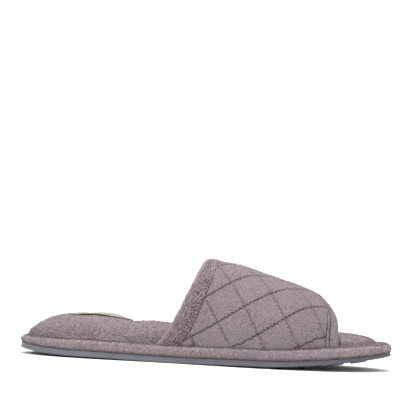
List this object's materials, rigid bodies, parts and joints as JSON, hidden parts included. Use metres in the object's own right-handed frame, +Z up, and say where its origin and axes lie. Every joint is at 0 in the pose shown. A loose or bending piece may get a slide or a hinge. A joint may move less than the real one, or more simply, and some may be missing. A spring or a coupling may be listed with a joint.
{
  "type": "slide slipper",
  "caption": "Open-toe slide slipper with a quilted terry upper, wide fluffy collar, padded terry footbed with a plain oval heel label, wrapped midsole and grey rubber outsole",
  "frame": {"origin": "middle of the shoe's bounding box, on the floor", "axes": "+X from heel to toe, +Z up, -Y to the lateral side"},
  "size_m": [0.26, 0.0955, 0.0714],
  "materials": {
    "outsole_rubber": "moulded, satin",
    "wrap_terry": "cut terry pile, matt",
    "footbed_terry": "cut terry pile over foam, matt",
    "woven_label": "satin woven, plain",
    "quilted_terry": "short terry pile, quilted, matt",
    "binding_terry": "long terry pile, matt"
  },
  "bodies": {
    "root": {"outsole": "outsole_rubber", "wrapped_midsole": "wrap_terry", "footbed": "footbed_terry", "heel_label": "woven_label", "upper": "quilted_terry", "collar_binding": "binding_terry", "toe_binding": "quilted_terry"}
  },
  "joints": []
}
